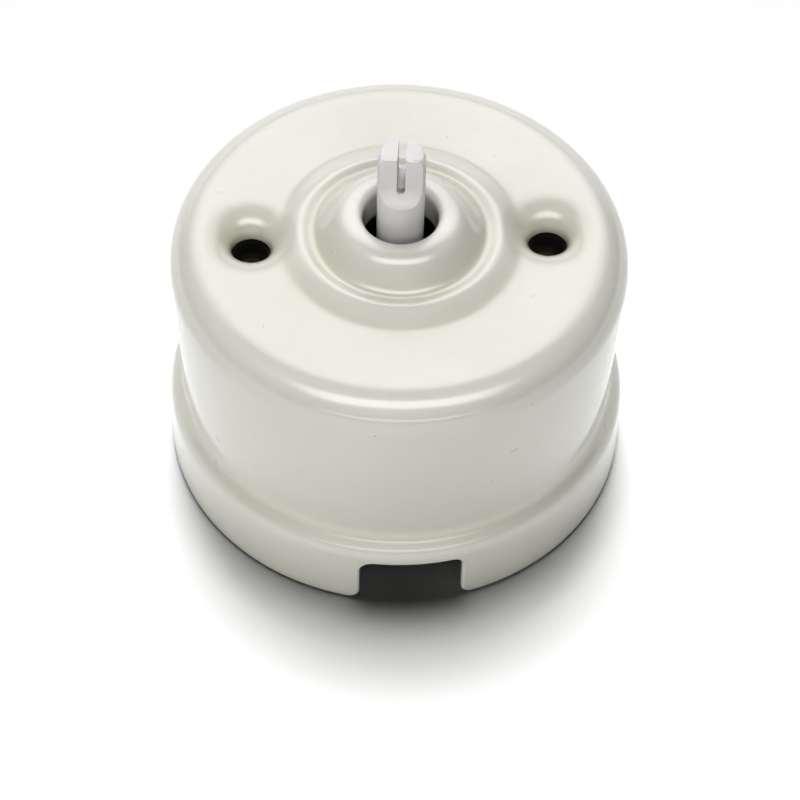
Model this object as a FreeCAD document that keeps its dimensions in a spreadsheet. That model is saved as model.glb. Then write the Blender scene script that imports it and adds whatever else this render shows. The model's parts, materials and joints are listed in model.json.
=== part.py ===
import FreeCAD, Part
import math
import os
import re
import Sketcher

# A surface-mounted rotary switch: a glazed porcelain cover over a moulded base that carries the terminals,
# the contact fingers and a spindle with four clicks to the turn.
# Frame: origin at the centre of the wall side, +Z along the spindle, cable notch towards -Y.

# Driving sizes in millimetres, except those marked as degrees
sizes = {
    # porcelain cover, outside
    "body_foot_radius": 30.2,
    "body_top_radius": 31.1,
    "flange_ledge": 2.3,
    "flange_height": 10.3,
    "step_rise": 2.2,
    "step_round": 2.6,
    "edge_round": 0.6,
    "cover_height": 40.1,
    "rim_round": 4.6,
    "top_dish": 0.6,
    "platform_radius": 16.6,
    "platform_round": 1.6,
    "ring_radius": 13.2,
    "ring_rise": 1.4,
    "ring_width": 1.5,
    "ring_fall": 1.0,
    "ring_round": 0.8,
    "boss_radius": 8.0,
    "boss_rise": 3.8,
    "boss_round": 2.6,
    "boss_hole_round": 0.9,
    # porcelain cover, inside and openings
    "cover_wall": 3.2,
    "cover_top": 3.3,
    "ceiling_round": 2.0,
    "spindle_hole_radius": 5.0,
    "spindle_hole_depth": 5.1,
    "boss_pocket_radius": 9.5,
    "screw_spacing": 40.0,
    "screw_hole_radius": 2.6,
    "screw_dish_round": 2.4,
    "screw_dish_lip": 1.2,
    "notch_width": 14.0,
    "notch_height": 8.1,
    "notch_round": 1.8,
    # mounting base
    "base_clearance": 0.3,
    "base_floor": 5.0,
    "base_rim": 2.5,
    "recess_depth": 0.8,
    "pillar_radius": 3.9,
    "pillar_gap": 0.3,
    "cable_cut_depth": 5.7,
    "cable_cut_margin": 0.4,
    "wall_screw_spacing": 32.0,
    "wall_screw_radius": 2.25,
    "insulator_thickness": 0.7,
    "insulator_clearance": 0.2,
    # threaded inserts for the cover's screws
    "insert_radius": 2.3,
    "insert_core_radius": 1.65,
    "insert_length": 8.0,
    "insert_depth": 3.0,
    "seat_clearance": 0.05,
    # spindle
    "pivot_radius": 2.0,
    "pivot_depth": 3.0,
    "pivot_end_gap": 0.2,
    "bearing_clearance": 0.05,
    "key_width": 4.2,
    "collar_radius": 5.0,
    "collar_thickness": 2.0,
    "shaft_radius": 3.5,
    "knob_radius": 3.15,
    "knob_shoulder_drop": 6.4,
    "spindle_reach": 11.1,
    "lead_in_width": 0.35,
    "lead_in_length": 1.1,
    "flat_length": 7.3,
    "flat_offset": 1.45,
    "flat_runout": 1.7,
    "flat_angle": -6.0,  # degrees, the flat's turn away from straight ahead
    "slot_width": 1.2,
    "slot_depth": 6.1,
    # contact drum and detent
    "washer_radius": 5.5,
    "washer_thickness": 0.4,
    "axial_play": 0.05,
    "drum_radius": 7.5,
    "drum_height": 8.5,
    "sleeve_thickness": 0.8,
    "sleeve_margin": 0.75,
    "sleeve_band": 2.5,
    "tab_angle": 60.0,  # degrees of the drum's face that each contact tab covers
    "tab_clearance": 0.5,  # degrees on each side of a tab
    "cam_width": 6.8,
    "cam_height": 5.0,
    "cam_round": 0.8,
    "leaf_thickness": 0.4,
    "leaf_margin": 0.3,
    "leaf_gap": 0.05,
    "leaf_slot_depth": 1.6,
    "leaf_slot_clearance": 0.1,
    # detent housing
    "housing_play": 0.15,
    "leg_gap": 3.0,
    "leg_width": 10.0,
    "leg_clearance": 0.6,
    "plate_thickness": 3.5,
    "plate_width": 15.0,
    "plate_round": 2.5,
    "bearing_radius": 6.0,
    "bearing_rise": 4.0,
    # terminals and contact fingers
    "tip_gap": 0.08,
    "tip_height": 0.6,
    "tip_radius": 1.2,
    "strip_thickness": 0.5,
    "strip_width": 4.8,
    "strip_bend": 0.6,
    "strip_overhang": 1.8,
    "terminal_gap": 2.5,
    "terminal_length": 7.0,
    "terminal_width": 6.0,
    "terminal_height": 8.0,
    "terminal_edge": 0.4,
    "wire_hole_radius": 1.6,
    "wire_hole_drop": 3.2,
    # screws
    "clamp_radius": 1.5,
    "clamp_head_radius": 2.4,
    "clamp_head_height": 1.8,
    "fixing_radius": 1.25,
    "fixing_head_radius": 2.3,
    "fixing_head_height": 1.4,
    "fixing_bite": 2.6,
    "fixing_hole_clearance": 0.15,
    "driver_slot_width": 0.6,
    "driver_slot_depth": 0.8,
}

# Directions of the three terminals round the spindle, in degrees from +X
first_way_angle = 45
second_way_angle = 135
common_angle = 225
way_angles = (first_way_angle, second_way_angle, common_angle)
half_turn_angle = 180
leg_angles = (0, half_turn_angle)

# Levels and distances that several pieces share, worked out from the sizes
flange_radius = "(body_foot_radius + flange_ledge)"
cavity_radius = "(body_foot_radius - cover_wall)"
dish_level = "(cover_height - top_dish)"
ceiling_level = "(cover_height - top_dish - cover_top)"
boss_level = "(cover_height + boss_rise)"
base_radius = "(body_foot_radius - cover_wall - base_clearance)"
recess_radius = "(body_foot_radius - cover_wall - base_clearance - base_rim)"
pillar_level = f"({ceiling_level} - pillar_gap)"
cable_cut_face = f"(-{base_radius} + cable_cut_depth)"
drum_bottom = "(base_floor + washer_thickness + axial_play)"
drum_top = f"({drum_bottom} + drum_height)"
cam_top = f"({drum_top} + cam_height)"
collar_top = f"({cam_top} + collar_thickness)"
plate_bottom = f"({collar_top} + housing_play)"
shoulder_level = f"({boss_level} - knob_shoulder_drop)"
spindle_top = f"({boss_level} + spindle_reach)"
slot_bottom = f"({spindle_top} - slot_depth)"
runout_level = f"({spindle_top} - flat_length + flat_runout)"
sleeve_bottom = f"({drum_bottom} + sleeve_margin)"
tab_bottom = f"({sleeve_bottom} + sleeve_band)"
sleeve_top = f"({drum_top} - sleeve_margin)"
strip_face = "(drum_radius + tip_gap + tip_height)"
terminal_face = f"({strip_face} + strip_thickness + terminal_gap)"
terminal_middle = f"({terminal_face} + terminal_length / 2)"
terminal_bottom = "(base_floor + strip_thickness)"
terminal_top = f"({terminal_bottom} + terminal_height)"
wire_hole_level = f"({terminal_top} - wire_hole_drop)"
leg_face = "(drum_radius + leg_gap)"
leg_back = "(screw_spacing / 2 - pillar_radius - leg_clearance)"
leg_middle = f"(({leg_face} + {leg_back}) / 2)"
leaf_face = "(cam_width / 2 + leaf_gap)"
head_seat = "(recess_depth + fixing_head_height)"

sides = (("left", "-"), ("right", ""))
ends = (("front", "-"), ("rear", ""))
near = 1e-4  # how close an edge lies to the place it is looked for
up = FreeCAD.Vector(0, 0, 1)
doc = FreeCAD.newDocument("rotary_switch")
sheet = doc.addObject("Spreadsheet::Sheet", "Sizes")
for row, (name, number) in enumerate(sizes.items(), 1):
    sheet.set(f"A{row}", name)
    sheet.set(f"B{row}", str(number))
    sheet.setAlias(f"B{row}", name)
doc.recompute()
pieces = []


def formula(text):
    """The text as an expression, with each size's name pointing at its cell."""
    return re.sub(r"[a-z_]+", lambda word: f"Sizes.{word[0]}" if word[0] in sizes else word[0], text)


def bind(item, **formulas):
    for prop, text in formulas.items():
        item.setExpression(prop, formula(text))
    return item


def place(item, x="0", y="0", z="0"):
    for axis, text in zip("xyz", (x, y, z)):
        item.setExpression(f".Placement.Base.{axis}", formula(text))
    return item


def finish(item, label):
    """Names a finished piece and keeps it for writing."""
    item.Label = label
    pieces.append(item)
    return item


# Solids made from primitives


def block(name, length, width, height, x="0", y="0", z="0"):
    """A box centred on x and y, standing on z."""
    item = bind(doc.addObject("Part::Box", name), Length=length, Width=width, Height=height)
    return place(item, f"{x} - ({length}) / 2", f"{y} - ({width}) / 2", z)


def cylinder(name, radius, height, x="0", y="0", z="0"):
    item = bind(doc.addObject("Part::Cylinder", name), Radius=radius, Height=height)
    return place(item, x, y, z)


def lying(item, axis):
    """Lays a cylinder or cone that was made along Z down along another axis."""
    item.Placement = FreeCAD.Placement(item.Placement.Base, FreeCAD.Rotation(up, axis))
    return item


def fuse(name, *items):
    item = doc.addObject("Part::MultiFuse", name)
    item.Shapes = list(items)
    item.Refine = True
    return item


def cut(name, base, *tools):
    item = doc.addObject("Part::Cut", name)
    item.Base = base
    item.Tool = tools[0] if len(tools) == 1 else fuse(f"{name}_tools", *tools)
    item.Refine = True
    return item


def group(name, *items):
    item = doc.addObject("Part::Compound", name)
    item.Links = list(items)
    return item


def turned(name, item, angle):
    """A copy of an item turned about the spindle's axis."""
    copy = group(name, item)
    copy.Placement = FreeCAD.Placement(FreeCAD.Vector(), FreeCAD.Rotation(up, angle))
    return copy


def around(name, item, angles):
    return [turned(f"{name}_{angle}", item, angle) for angle in angles]


# Solids made from sketches


def new_body(name):
    return doc.addObject("PartDesign::Body", name)


def add(body, kind, name, **formulas):
    return bind(body.newObject(f"PartDesign::{kind}", name), **formulas)


def own_plane(body, role):
    return next(item for item in body.Origin.OriginFeatures if item.Role == role)


def new_sketch(body, name, plane):
    sketch = body.newObject("Sketcher::SketchObject", name)
    sketch.AttachmentSupport = (own_plane(body, plane), [""])
    sketch.MapMode = "FlatFace"
    return sketch


def outline(body, name, plane, corners, level=None, turn=0):
    """A closed sketch of straight edges, with its corners as pairs of formulas."""
    sketch = new_sketch(body, name, plane)
    sketch.AttachmentOffset = FreeCAD.Placement(FreeCAD.Vector(), FreeCAD.Rotation(up, turn))
    if level:
        sketch.setExpression(".AttachmentOffset.Base.z", formula(level))
    count = len(corners)
    spots = [FreeCAD.Vector(i, i * (count - i), 0) for i in range(count)]
    for i in range(count):
        sketch.addGeometry(Part.LineSegment(spots[i], spots[(i + 1) % count]), False)
    for i in range(count):
        sketch.addConstraint(Sketcher.Constraint("Coincident", i, 2, (i + 1) % count, 1))
    for i, (across, along) in enumerate(corners):
        pin_corner(sketch, i, "DistanceX", across, -2)
        pin_corner(sketch, i, "DistanceY", along, -1)
    return sketch


def pin_corner(sketch, corner, kind, text, axis):
    """Holds one coordinate of a corner: on the sketch's axis where it is zero, else at a bound distance."""
    if text == "0":
        sketch.addConstraint(Sketcher.Constraint("PointOnObject", corner, 1, axis))
        return
    held = sketch.addConstraint(Sketcher.Constraint(kind, -1, 1, corner, 1, 1.0))
    sketch.setExpression(f"Constraints[{held}]", formula(text))


def spun(body, name, sketch, kind="Revolution", axis="V_Axis"):
    item = add(body, kind, name)
    item.Profile = sketch
    item.ReferenceAxis = (sketch, [axis])
    item.Angle = 360
    return item


def rounded(body, name, radius, wanted):
    """Rounds the edges of the body so far that pass a test, with a bound radius."""
    doc.recompute()
    base = body.Tip
    edges = [f"Edge{i}" for i, edge in enumerate(base.Shape.Edges, 1) if wanted(edge)]
    item = add(body, "Fillet", name, Radius=radius)
    item.Base = (base, edges)
    return item


def swept_by(sketch, *corners):
    """Tests for the circles that corners of a spun sketch sweep."""
    spots = [sketch.Geometry[corner].StartPoint for corner in corners]

    def wanted(edge):
        if not isinstance(edge.Curve, Part.Circle):
            return False
        sizes_match = [
            abs(edge.Curve.Radius - spot.x) + abs(edge.Curve.Center.z - spot.y) < near for spot in spots
        ]
        return any(sizes_match)

    return wanted


def runs_along(direction):
    """Tests for straight edges along a direction."""

    def wanted(edge):
        if not isinstance(edge.Curve, Part.Line):
            return False
        return abs(edge.tangentAt(edge.FirstParameter).dot(direction)) > 0.999

    return wanted


def porcelain_cover():
    body = new_body("porcelain_cover_body")
    section = outline(
        body,
        "cover_section",
        "XZ_Plane",
        [
            (cavity_radius, "0"),
            (flange_radius, "0"),
            (flange_radius, "flange_height"),
            ("body_foot_radius", "flange_height + step_rise"),
            ("body_top_radius", "cover_height"),
            ("platform_radius", dish_level),
            ("ring_radius", f"{dish_level} + ring_rise"),
            ("ring_radius - ring_width", f"{dish_level} + ring_rise - ring_fall"),
            ("boss_radius", boss_level),
            ("spindle_hole_radius", boss_level),
            ("spindle_hole_radius", f"{boss_level} - spindle_hole_depth"),
            ("boss_pocket_radius", f"{boss_level} - spindle_hole_depth"),
            ("boss_pocket_radius", ceiling_level),
            (cavity_radius, ceiling_level),
        ],
    )
    spun(body, "cover_shell", section)
    doc.recompute()
    rounded(body, "bottom_edge", "edge_round", swept_by(section, 1))
    rounded(body, "flange_step", "step_round", swept_by(section, 2, 3))
    rounded(body, "rim", "rim_round", swept_by(section, 4))
    rounded(body, "platform_foot", "platform_round", swept_by(section, 5))
    rounded(body, "ring_edges", "ring_round", swept_by(section, 6, 7))
    rounded(body, "boss_edge", "boss_round", swept_by(section, 8))
    rounded(body, "boss_hole_edge", "boss_hole_round", swept_by(section, 9))
    rounded(body, "ceiling_corner", "ceiling_round", swept_by(section, 13))

    # each screw hole flares out to the top in a quarter-round dish, which rises steeply into the platform
    hole = screw_dish(body)
    dish = spun(body, "screw_hole", hole, "Groove", "Axis0")
    doc.recompute()
    pair = body.newObject("PartDesign::Mirrored", "screw_holes")
    pair.Originals = [dish]
    pair.MirrorPlane = (own_plane(body, "YZ_Plane"), [""])
    body.Tip = pair

    # the cable notch goes through the front wall only
    half = "notch_width / 2"
    mouth = outline(
        body,
        "notch_outline",
        "XZ_Plane",
        [
            (f"-{half}", "-notch_round"),
            (half, "-notch_round"),
            (half, "notch_height"),
            (f"-{half}", "notch_height"),
        ],
    )
    notch = add(body, "Pocket", "cable_notch", Length=flange_radius)
    notch.Profile = mouth
    notch.Reversed = True
    doc.recompute()
    top = sheet.get("notch_height")

    def notch_corner(edge):
        at_top = all(abs(vertex.Point.z - top) < near for vertex in edge.Vertexes)
        return at_top and runs_along(FreeCAD.Vector(0, 1, 0))(edge)

    rounded(body, "notch_corners", "notch_round", notch_corner)
    return finish(body, "porcelain_cover")


def screw_dish(body):
    """Half section of one screw hole: neck, quarter-round dish, steep lip, and the axis it is spun about."""
    sketch = new_sketch(body, "screw_hole_section", "XZ_Plane")
    axis = sheet.get("screw_spacing") / 2
    neck = axis + sheet.get("screw_hole_radius")
    bend = sheet.get("screw_dish_round")
    lip = sheet.get("screw_dish_lip")
    top = sheet.get("cover_height") - sheet.get("top_dish")
    low = top - sheet.get("cover_top") - bend
    high = sheet.get("cover_height") + sheet.get("boss_rise")
    spot = FreeCAD.Vector
    middle = spot(neck + bend, top - bend, 0)
    foot = spot(axis, low, 0)
    crest = spot(axis, high, 0)
    neck_foot = spot(neck, low, 0)
    neck_top = spot(neck, top - bend, 0)
    dish_edge = spot(neck + bend, top, 0)
    lip_edge = spot(neck + bend + lip, high, 0)
    quarter = Part.ArcOfCircle(Part.Circle(middle, up, bend), math.pi / 2, math.pi)
    edges = (
        Part.LineSegment(foot, neck_foot),
        Part.LineSegment(neck_foot, neck_top),
        quarter,
        Part.LineSegment(dish_edge, lip_edge),
        Part.LineSegment(lip_edge, crest),
        Part.LineSegment(crest, foot),
    )
    for edge in edges:
        sketch.addGeometry(edge, False)
    sketch.addGeometry(Part.LineSegment(foot, crest), True)
    # an edge and its end, then the edge and end that it meets: the arc runs from the dish's edge to the neck
    meetings = (
        (0, 2, 1, 1),
        (1, 2, 2, 2),
        (2, 1, 3, 1),
        (3, 2, 4, 1),
        (4, 2, 5, 1),
        (5, 2, 0, 1),
        (6, 1, 0, 1),
        (6, 2, 5, 1),
    )
    for meeting in meetings:
        sketch.addConstraint(Sketcher.Constraint("Coincident", *meeting))
    held = (
        ("DistanceX", 0, 1, "screw_spacing / 2"),
        ("DistanceX", 4, 2, "screw_spacing / 2"),
        ("DistanceX", 0, 2, "screw_spacing / 2 + screw_hole_radius"),
        ("DistanceX", 1, 2, "screw_spacing / 2 + screw_hole_radius"),
        ("DistanceX", 3, 2, "screw_spacing / 2 + screw_hole_radius + screw_dish_round + screw_dish_lip"),
        ("DistanceY", 0, 1, f"{ceiling_level} - screw_dish_round"),
        ("DistanceY", 0, 2, f"{ceiling_level} - screw_dish_round"),
        ("DistanceY", 1, 2, f"{dish_level} - screw_dish_round"),
        ("DistanceY", 3, 2, boss_level),
        ("DistanceY", 4, 2, boss_level),
        ("DistanceX", 2, 3, "screw_spacing / 2 + screw_hole_radius + screw_dish_round"),
        ("DistanceY", 2, 3, f"{dish_level} - screw_dish_round"),
        ("DistanceX", 2, 1, "screw_spacing / 2 + screw_hole_radius + screw_dish_round"),
    )
    for kind, edge, end, text in held:
        at = sketch.getPoint(edge, end)
        distance = at.x if kind == "DistanceX" else at.y
        index = sketch.addConstraint(Sketcher.Constraint(kind, -1, 1, edge, end, distance))
        sketch.setExpression(f"Constraints[{index}]", formula(text))
    return sketch


def mounting_base():
    disc = cylinder("base_disc", base_radius, "base_floor")
    pillars = [
        cylinder(f"pillar_{side}", "pillar_radius", pillar_level, f"{sign}screw_spacing / 2")
        for side, sign in sides
    ]
    bores = [
        cylinder(
            f"insert_bore_{side}",
            "insert_radius + seat_clearance",
            "insert_depth + insert_length",
            f"{sign}screw_spacing / 2",
            z=f"{pillar_level} - insert_depth - insert_length",
        )
        for side, sign in sides
    ]
    within = cylinder("base_limit", base_radius, pillar_level)
    solid = doc.addObject("Part::MultiCommon", "base_solid")
    solid.Shapes = [fuse("base_body", disc, *pillars), within]
    recess = cylinder("back_recess", recess_radius, "recess_depth")
    pivot = cylinder(
        "pivot_bore", "pivot_radius + bearing_clearance", "pivot_depth", z="base_floor - pivot_depth"
    )
    return finish(
        cut(
            "base_cut",
            solid,
            recess,
            pivot,
            cable_cut("base_cable_cut", "cable_cut_margin"),
            *wall_holes("base_wall_hole", "0"),
            *bores,
            *fixing_holes(),
        ),
        "mounting_base",
    )


def cable_cut(name, margin):
    """The way in for the cable, behind the cover's notch."""
    return block(
        name,
        f"notch_width + 2 * {margin}",
        "2 * cable_cut_depth",
        "2 * base_floor",
        y=f"{cable_cut_face} - cable_cut_depth",
    )


def wall_holes(name, margin):
    radius = f"wall_screw_radius + {margin}"
    return [
        cylinder(f"{name}_{side}", radius, "base_floor", y=f"{sign}wall_screw_spacing / 2")
        for side, sign in ends
    ]


def fixing_holes():
    """Counterbored holes from the back, under each terminal and each leg of the housing."""
    radius = "fixing_radius + fixing_hole_clearance"
    seat = "fixing_head_radius + fixing_hole_clearance"
    holes = []
    sets = (("terminal", terminal_middle, way_angles), ("leg", leg_middle, leg_angles))
    for name, distance, angles in sets:
        hole = fuse(
            f"{name}_fixing_hole",
            cylinder(f"{name}_fixing_bore", radius, "base_floor", distance),
            cylinder(f"{name}_fixing_seat", seat, head_seat, distance),
        )
        holes += around(f"{name}_hole", hole, angles)
    return holes


def fixing_screws():
    """Screws put in from the back: their heads sit under the base's floor."""
    sets = (
        ("terminal", terminal_middle, terminal_bottom, way_angles),
        ("housing", leg_middle, "base_floor", leg_angles),
    )
    for name, distance, seat, angles in sets:
        length = f"({seat} + fixing_bite - {head_seat})"
        head = cylinder(
            f"{name}_fixing_head", "fixing_head_radius", "fixing_head_height", distance, z="recess_depth"
        )
        shank = cylinder(f"{name}_fixing_shank", "fixing_radius", length, distance, z=head_seat)
        slot = block(
            f"{name}_fixing_slot",
            "2 * fixing_head_radius",
            "driver_slot_width",
            "driver_slot_depth",
            distance,
            z="recess_depth",
        )
        screw = cut(f"{name}_fixing_screw", fuse(f"{name}_fixing_body", head, shank), slot)
        finish(group(f"{name}_screw_set", *around(f"{name}_screw", screw, angles)), f"{name}_fixing_screws")


def rear_insulator():
    radius = f"{recess_radius} - insulator_clearance"
    disc = cylinder("insulator_disc", radius, "insulator_thickness", z="recess_depth - insulator_thickness")
    holes = wall_holes("insulator_hole", "insulator_clearance")
    opening = cable_cut("insulator_cable_cut", "(cable_cut_margin + insulator_clearance)")
    return finish(cut("insulator_cut", disc, opening, *holes), "rear_insulator")


def pillar_inserts():
    inserts = []
    bottom = f"{pillar_level} - insert_depth - insert_length"
    for side, sign in sides:
        x = f"{sign}screw_spacing / 2"
        sleeve = cylinder(f"insert_sleeve_{side}", "insert_radius", "insert_length", x, z=bottom)
        core = cylinder(f"insert_core_{side}", "insert_core_radius", "insert_length", x, z=bottom)
        inserts.append(cut(f"insert_{side}", sleeve, core))
    return finish(group("insert_pair", *inserts), "pillar_inserts")


def spindle():
    """Turned about Z to the flat's angle, with its key turned back to lie square to the base."""
    body = new_body("spindle_body")
    angle = sheet.get("flat_angle")
    section = outline(
        body,
        "spindle_section",
        "XZ_Plane",
        [
            ("0", "base_floor - pivot_depth + pivot_end_gap"),
            ("pivot_radius", "base_floor - pivot_depth + pivot_end_gap"),
            ("pivot_radius", cam_top),
            ("collar_radius", cam_top),
            ("collar_radius", collar_top),
            ("shaft_radius", collar_top),
            ("shaft_radius", shoulder_level),
            ("knob_radius", shoulder_level),
            ("knob_radius", f"{spindle_top} - lead_in_length"),
            ("knob_radius - lead_in_width", spindle_top),
            ("0", spindle_top),
        ],
    )
    spun(body, "spindle_turning", section)
    half = "key_width / 2"
    square = outline(
        body,
        "key_outline",
        "XY_Plane",
        [(f"-{half}", f"-{half}"), (half, f"-{half}"), (half, half), (f"-{half}", half)],
        drum_bottom,
        -angle,
    )
    key = add(body, "Pad", "key", Length=f"{cam_top} - {drum_bottom}")
    key.Profile = square

    across = "2 * knob_radius"
    flat = add(
        body, "SubtractiveBox", "knob_flat",
        Length=across, Width="knob_radius", Height="flat_length - flat_runout",
    )
    place(flat, "-knob_radius", "-flat_offset - knob_radius", runout_level)
    runout = add(body, "SubtractiveCylinder", "knob_flat_runout", Radius="flat_runout", Height=across)
    place(runout, "-knob_radius", "-flat_offset - flat_runout", runout_level)
    lying(runout, FreeCAD.Vector(1, 0, 0))
    slot = add(
        body, "SubtractiveBox", "spindle_slot",
        Length="slot_width", Width=across, Height="slot_depth - slot_width / 2",
    )
    place(slot, "-slot_width / 2", "-knob_radius", f"{slot_bottom} + slot_width / 2")
    root = add(body, "SubtractiveCylinder", "slot_root", Radius="slot_width / 2", Height=across)
    place(root, "0", "knob_radius", f"{slot_bottom} + slot_width / 2")
    lying(root, FreeCAD.Vector(0, -1, 0))
    body.Placement = FreeCAD.Placement(FreeCAD.Vector(), FreeCAD.Rotation(up, angle))
    return finish(body, "spindle")


def thrust_washer():
    disc = cylinder("washer_disc", "washer_radius", "washer_thickness", z="base_floor")
    hole = cylinder("washer_hole", "pivot_radius + bearing_clearance", "washer_thickness", z="base_floor")
    return finish(cut("washer_cut", disc, hole), "thrust_washer")


def contact_tabs(name, inner, outer, bottom, top, clearances):
    """A full band round the drum with two opposite tabs above it, one facing the first way."""
    band = cylinder(f"{name}_band", outer, f"{tab_bottom} - {bottom}", z=bottom)
    tab = cylinder(f"{name}_tab", outer, f"{top} - {bottom}", z=bottom)
    bind(tab, Angle=f"tab_angle + 2 * {clearances} * tab_clearance")
    half_tab = sheet.get("tab_angle") / 2 + clearances * sheet.get("tab_clearance")
    start = first_way_angle - half_tab
    tabs = around(f"{name}_tab", tab, (start, start + half_turn_angle))
    core = cylinder(f"{name}_core", inner, f"{top} - {bottom}", z=bottom)
    return cut(f"{name}_shape", fuse(f"{name}_outer", band, *tabs), core)


def contact_drum():
    body = cylinder("drum_body", "drum_radius", "drum_height", z=drum_bottom)
    room = contact_tabs(
        "sleeve_room",
        "drum_radius - sleeve_thickness - seat_clearance",
        "drum_radius + seat_clearance",
        f"({sleeve_bottom} - seat_clearance)",
        f"({sleeve_top} + seat_clearance)",
        1,
    )
    width = "key_width + 2 * seat_clearance"
    keyway = block("drum_keyway", width, width, "drum_height", z=drum_bottom)
    return finish(cut("drum_cut", body, room, keyway), "contact_drum")


def contact_sleeve():
    inner = "drum_radius - sleeve_thickness"
    sleeve = contact_tabs("sleeve", inner, "drum_radius", sleeve_bottom, sleeve_top, 0)
    return finish(sleeve, "contact_sleeve")


def detent_cam():
    body = new_body("detent_cam_body")
    square = add(
        body, "AdditiveBox", "cam_square", Length="cam_width", Width="cam_width", Height="cam_height"
    )
    place(square, "-cam_width / 2", "-cam_width / 2", drum_top)
    rounded(body, "cam_corners", "cam_round", runs_along(up))
    width = "key_width + 2 * seat_clearance"
    keyway = add(body, "SubtractiveBox", "cam_keyway", Length=width, Width=width, Height="cam_height")
    place(keyway, f"-({width}) / 2", f"-({width}) / 2", drum_top)
    return finish(body, "detent_cam")


def leaf(name, sign, clearance):
    """A flat leaf that lies along a flat of the cam, with its ends in the slots of the housing's legs."""
    return block(
        name,
        f"2 * ({leg_face} + leaf_slot_depth - leaf_slot_clearance + {clearance})",
        f"leaf_thickness + 2 * {clearance}",
        f"cam_height - 2 * leaf_margin + 2 * {clearance}",
        y=f"{sign}({leaf_face} + leaf_thickness / 2)",
        z=f"{drum_top} + leaf_margin - {clearance}",
    )


def detent_springs():
    for side, sign in ends:
        finish(leaf(f"leaf_{side}", sign, "0"), f"detent_spring_{side}")


def detent_housing():
    """A bridge over the drum: two legs, a plate with the upper bearing, and slots for the detent springs."""
    body = new_body("housing_plate_body")
    plate = add(
        body, "AdditiveBox", "housing_plate",
        Length=f"2 * {leg_back}", Width="plate_width", Height="plate_thickness",
    )
    place(plate, f"-{leg_back}", "-plate_width / 2", plate_bottom)
    rounded(body, "plate_corners", "plate_round", runs_along(up))
    legs = [
        block(
            f"leg_{side}",
            f"{leg_back} - {leg_face}",
            "leg_width",
            f"{plate_bottom} - base_floor",
            f"{sign}{leg_middle}",
            z="base_floor",
        )
        for side, sign in sides
    ]
    bearing = cylinder("upper_bearing", "bearing_radius", "plate_thickness + bearing_rise", z=plate_bottom)
    bore = cylinder(
        "bearing_bore", "shaft_radius + bearing_clearance", "plate_thickness + bearing_rise", z=plate_bottom
    )
    slots = [leaf(f"spring_slot_{side}", sign, "leaf_slot_clearance") for side, sign in ends]
    depth = "fixing_bite + seat_clearance"
    thread = cylinder("leg_thread", "fixing_radius + seat_clearance", depth, leg_middle, z="base_floor")
    threads = around("leg_thread", thread, leg_angles)
    solid = fuse("housing_solid", body, *legs, bearing)
    return finish(cut("housing_cut", solid, bore, *slots, *threads), "detent_housing")


def contact_finger(label, angle, rise):
    """A bent strip: a foot under the terminal and an upright, as high as rise, that carries the tip."""
    body = new_body(f"{label}_body")
    profile = outline(
        body,
        f"{label}_profile",
        "XZ_Plane",
        [
            (strip_face, "base_floor"),
            (f"{terminal_face} + terminal_length", "base_floor"),
            (f"{terminal_face} + terminal_length", terminal_bottom),
            (f"{strip_face} + strip_thickness", terminal_bottom),
            (f"{strip_face} + strip_thickness", rise),
            (strip_face, rise),
        ],
    )
    strip = add(body, "Pad", f"{label}_strip", Length="strip_width")
    strip.Profile = profile
    strip.SideType = "Symmetric"
    doc.recompute()
    inner = profile.Geometry[3].StartPoint
    outer = profile.Geometry[0].StartPoint

    def bend_at(spot):
        return lambda edge: all(
            abs(vertex.Point.x - spot.x) + abs(vertex.Point.z - spot.y) < near for vertex in edge.Vertexes
        )

    rounded(body, f"{label}_inner_bend", "strip_bend", bend_at(inner))
    rounded(body, f"{label}_outer_bend", "strip_bend + strip_thickness", bend_at(outer))
    hole = add(
        body, "SubtractiveCylinder", f"{label}_hole",
        Radius="fixing_radius + fixing_hole_clearance", Height="strip_thickness",
    )
    place(hole, terminal_middle, "0", "base_floor")
    body.Placement = FreeCAD.Placement(FreeCAD.Vector(), FreeCAD.Rotation(up, angle))
    return finish(body, label)


way_tip_level = f"(({tab_bottom} + {sleeve_top}) / 2)"
common_tip_level = f"(({sleeve_bottom} + {tab_bottom}) / 2)"
fingers = (
    ("first_way", first_way_angle, way_tip_level),
    ("second_way", second_way_angle, way_tip_level),
    ("common", common_angle, common_tip_level),
)


def contact_fingers():
    for name, angle, level in fingers:
        contact_finger(f"contact_finger_{name}", angle, f"{level} + strip_overhang")


def contact_tips():
    tips = []
    for name, angle, level in fingers:
        cone = doc.addObject("Part::Cone", f"tip_{name}")
        bind(cone, Radius1="tip_radius", Radius2="tip_radius - tip_height / 2", Height="tip_height")
        place(lying(cone, FreeCAD.Vector(-1, 0, 0)), strip_face, "0", level)
        tips.append(turned(f"contact_tip_{name}", cone, angle))
    return finish(group("tip_set", *tips), "contact_tips")


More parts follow.
